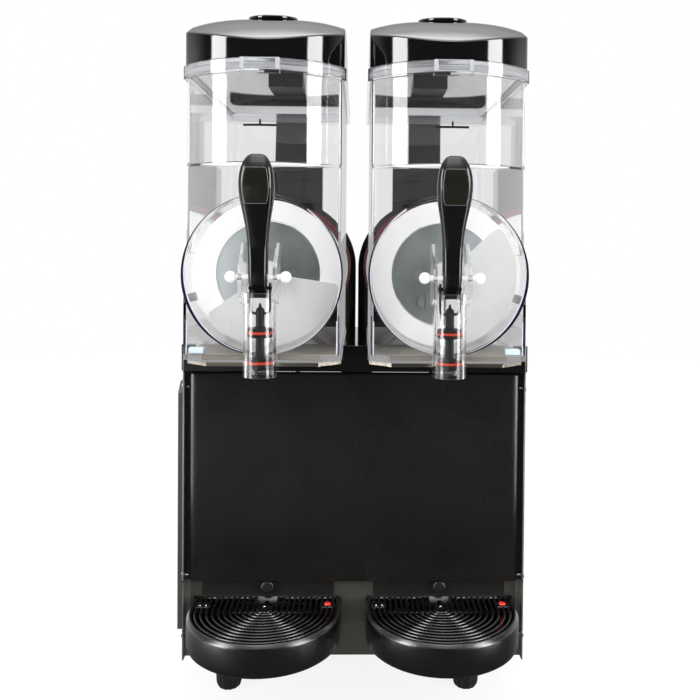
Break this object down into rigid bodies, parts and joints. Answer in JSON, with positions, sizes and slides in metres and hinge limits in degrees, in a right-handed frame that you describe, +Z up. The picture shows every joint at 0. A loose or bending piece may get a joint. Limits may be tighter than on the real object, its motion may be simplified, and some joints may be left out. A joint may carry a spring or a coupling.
{
  "type": "slush machine",
  "caption": "Twin-bowl frozen drink machine: clear bowls with augers and levered taps on a black cabinet with drip trays.",
  "frame": {"origin": "on the floor, under the middle of the machine's bounding box", "axes": "+X to the right seen from the front, +Y to the back, +Z up"},
  "size_m": [0.4158, 0.505, 0.814],
  "materials": {
    "black_steel": "satin black coating on steel",
    "front_steel": "satin black coating on steel",
    "gloss_black": "glossy moulded",
    "satin_black": "satin moulded",
    "clear": "clear polycarbonate, faint violet at the edges",
    "white": "smooth moulded",
    "stainless": "brushed",
    "red_silicone": "smooth",
    "orange_rubber": "smooth",
    "red_plastic": "glossy",
    "foot_rubber": "ribbed moulded rubber",
    "fin_aluminium": "mill finish",
    "copper": "drawn tube",
    "compressor_black": "gloss paint",
    "motor_grey": "satin paint",
    "grey_plastic": "moulded",
    "screw_steel": "bright"
  },
  "bodies": {
    "cabinet": {"base_pan": "black_steel", "feet": "foot_rubber", "plinth_plate": "black_steel", "panel_thumbscrews": "satin_black", "front_panel": "front_steel", "left_side_panel": "black_steel", "right_side_panel": "black_steel", "panel_screws": "screw_steel", "rear_panel": "black_steel", "cable_gland": "satin_black", "top_deck": "gloss_black", "filter_cover": "satin_black", "control_panel": "satin_black", "compressor": "compressor_black", "condenser": "fin_aluminium", "fan_shroud": "black_steel", "fan_motor": "motor_grey", "refrigerant_lines": "copper", "filter_dryer": "copper", "electrical_box": "grey_plastic", "left_rear_housing": "gloss_black", "left_gear_motor": "motor_grey", "left_evaporator": "stainless", "left_bowl_gasket": "red_silicone", "left_condensate_tray": "stainless", "right_rear_housing": "gloss_black", "right_gear_motor": "motor_grey", "right_evaporator": "stainless", "right_bowl_gasket": "red_silicone", "right_condensate_tray": "stainless"},
    "fan": {"fan_blade": "fin_aluminium"},
    "power_switch": {"power_switch": "gloss_black"},
    "left_mode_switch": {"left_mode_switch": "gloss_black"},
    "right_mode_switch": {"right_mode_switch": "gloss_black"},
    "left_thermostat_knob": {"left_thermostat_knob": "satin_black"},
    "right_thermostat_knob": {"right_thermostat_knob": "satin_black"},
    "left_auger": {"left_auger": "white", "left_drive_shaft": "stainless"},
    "left_bowl": {"left_bowl": "clear", "left_pivot_pin": "white"},
    "left_lever": {"left_tap_lever": "gloss_black"},
    "left_piston": {"left_tap_piston": "satin_black", "left_piston_seals": "orange_rubber"},
    "left_lid": {"left_lid": "gloss_black", "left_lid_lamp": "satin_black"},
    "left_tray": {"left_drip_tray": "satin_black"},
    "left_grille": {"left_tray_grille": "satin_black"},
    "left_float": {"left_tray_float": "red_plastic"},
    "right_auger": {"right_auger": "white", "right_drive_shaft": "stainless"},
    "right_bowl": {"right_bowl": "clear", "right_pivot_pin": "white"},
    "right_lever": {"right_tap_lever": "gloss_black"},
    "right_piston": {"right_tap_piston": "satin_black", "right_piston_seals": "orange_rubber"},
    "right_lid": {"right_lid": "gloss_black", "right_lid_lamp": "satin_black"},
    "right_tray": {"right_drip_tray": "satin_black"},
    "right_grille": {"right_tray_grille": "satin_black"},
    "right_float": {"right_tray_float": "red_plastic"}
  },
  "joints": [
    {"name": "fan_spin", "type": "hinge", "parent": "cabinet", "child": "fan", "pos_m": [-0.136, 0.015, 0.205], "axis": [1, 0, 0], "continuous": true},
    {"name": "power_switch_rock", "type": "hinge", "parent": "cabinet", "child": "power_switch", "pos_m": [0.187, 0.03, 0.325], "axis": [0, 1, 0], "range_deg": [-16, 0]},
    {"name": "left_mode_switch_rock", "type": "hinge", "parent": "cabinet", "child": "left_mode_switch", "pos_m": [0.187, 0.075, 0.325], "axis": [0, 1, 0], "range_deg": [-16, 0]},
    {"name": "right_mode_switch_rock", "type": "hinge", "parent": "cabinet", "child": "right_mode_switch", "pos_m": [0.187, 0.12, 0.325], "axis": [0, 1, 0], "range_deg": [-16, 0]},
    {"name": "left_thermostat_knob_turn", "type": "hinge", "parent": "cabinet", "child": "left_thermostat_knob", "pos_m": [0.19, 0.05, 0.268], "axis": [1, 0, 0], "range_deg": [0, 270]},
    {"name": "right_thermostat_knob_turn", "type": "hinge", "parent": "cabinet", "child": "right_thermostat_knob", "pos_m": [0.19, 0.105, 0.268], "axis": [1, 0, 0], "range_deg": [0, 270]},
    {"name": "left_auger_spin", "type": "hinge", "parent": "cabinet", "child": "left_auger", "pos_m": [-0.1005, -0.145, 0.5135], "axis": [0, 1, 0], "continuous": true},
    {"name": "left_bowl_slide", "type": "slide", "parent": "cabinet", "child": "left_bowl", "axis": [0, -1, 0], "range_m": [0, 0.3]},
    {"name": "left_lever_pull", "type": "hinge", "parent": "left_bowl", "child": "left_lever", "pos_m": [-0.1005, -0.2245, 0.5125], "axis": [1, 0, 0], "range_deg": [0, 72]},
    {"name": "left_piston_lift", "type": "slide", "parent": "left_bowl", "child": "left_piston", "axis": [0, 0, 1], "range_m": [0, 0.0258]},
    {"name": "left_lid_lift", "type": "slide", "parent": "left_bowl", "child": "left_lid", "axis": [0, 0, 1], "range_m": [0, 0.12]},
    {"name": "left_tray_slide", "type": "slide", "parent": "cabinet", "child": "left_tray", "axis": [0, -1, 0], "range_m": [0, 0.12]},
    {"name": "left_grille_lift", "type": "slide", "parent": "left_tray", "child": "left_grille", "axis": [0, 0, 1], "range_m": [0, 0.006]},
    {"name": "left_float_rise", "type": "slide", "parent": "left_tray", "child": "left_float", "axis": [0, 0, 1], "range_m": [0, 0.008]},
    {"name": "right_auger_spin", "type": "hinge", "parent": "cabinet", "child": "right_auger", "pos_m": [0.1005, -0.145, 0.5135], "axis": [0, 1, 0], "continuous": true},
    {"name": "right_bowl_slide", "type": "slide", "parent": "cabinet", "child": "right_bowl", "axis": [0, -1, 0], "range_m": [0, 0.3]},
    {"name": "right_lever_pull", "type": "hinge", "parent": "right_bowl", "child": "right_lever", "pos_m": [0.1005, -0.2245, 0.5125], "axis": [1, 0, 0], "range_deg": [0, 72]},
    {"name": "right_piston_lift", "type": "slide", "parent": "right_bowl", "child": "right_piston", "axis": [0, 0, 1], "range_m": [0, 0.0258]},
    {"name": "right_lid_lift", "type": "slide", "parent": "right_bowl", "child": "right_lid", "axis": [0, 0, 1], "range_m": [0, 0.12]},
    {"name": "right_tray_slide", "type": "slide", "parent": "cabinet", "child": "right_tray", "axis": [0, -1, 0], "range_m": [0, 0.12]},
    {"name": "right_grille_lift", "type": "slide", "parent": "right_tray", "child": "right_grille", "axis": [0, 0, 1], "range_m": [0, 0.006]},
    {"name": "right_float_rise", "type": "slide", "parent": "right_tray", "child": "right_float", "axis": [0, 0, 1], "range_m": [0, 0.008]}
  ],
  "couplings": [
    {"joint": "left_piston_lift", "follows": "left_lever_pull", "m_per_rad": 0.0205},
    {"joint": "right_piston_lift", "follows": "right_lever_pull", "m_per_rad": 0.0205}
  ]
}
